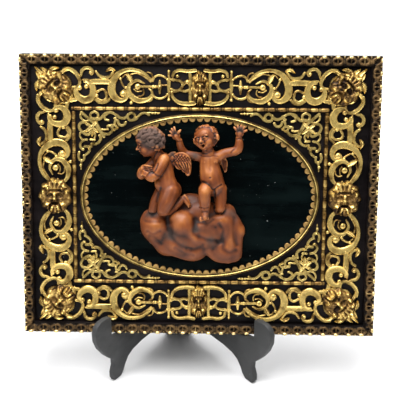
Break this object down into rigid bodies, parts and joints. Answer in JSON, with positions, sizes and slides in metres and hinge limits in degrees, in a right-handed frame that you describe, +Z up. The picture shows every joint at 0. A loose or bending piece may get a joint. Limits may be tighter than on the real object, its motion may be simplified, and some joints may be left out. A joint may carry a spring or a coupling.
{
  "type": "cherub wall plaque on a plate stand",
  "caption": "Framed dark oval field with a carved group of two winged children on a cloud, gilt openwork borders and masks, leaning on a two-board stand.",
  "frame": {"origin": "middle of the whole part's footprint, on the surface it stands on", "axes": "+X along the plaque's width, +Y to the back, +Z up"},
  "size_m": [0.356, 0.131, 0.3242],
  "materials": {
    "ebonised_wood": "black-stained wood with a dull wax polish",
    "gilt": "gilt casting, bright on the high places and brown in the hollows",
    "dark_gilt": "worn gilt gone brown",
    "copper_gilt": "thin gilt sheet with a copper tone",
    "polished_black": "polished black with faint streaks along the grain",
    "carved_wood": "red-brown carved wood, worn light on the high places, grey dust in the hollows",
    "stand_black": "matt black"
  },
  "bodies": {
    "root": {"backboard": "ebonised_wood", "bead_and_reel_bottom": "gilt", "bead_and_reel_left": "gilt", "bead_and_reel_right": "gilt", "bead_and_reel_top": "gilt", "cherub_group": "carved_wood", "corner_casting_bottom_left": "gilt", "corner_casting_bottom_right": "gilt", "corner_casting_top_left": "gilt", "corner_casting_top_right": "gilt", "frieze_bottom": "gilt", "frieze_left": "gilt", "frieze_right": "gilt", "frieze_top": "gilt", "gilt_band_bottom": "dark_gilt", "gilt_band_left": "dark_gilt", "gilt_band_right": "dark_gilt", "gilt_band_top": "dark_gilt", "moulding_bottom": "ebonised_wood", "moulding_left": "ebonised_wood", "moulding_right": "ebonised_wood", "moulding_top": "ebonised_wood", "oval_panel": "polished_black", "oval_ring": "gilt", "scalloped_liner": "copper_gilt", "spandrel_bottom_left": "gilt", "spandrel_bottom_right": "gilt", "spandrel_top_left": "gilt", "spandrel_top_right": "gilt", "stand_board_left": "stand_black", "stand_board_right": "stand_black", "stand_spine": "stand_black"}
  },
  "joints": []
}
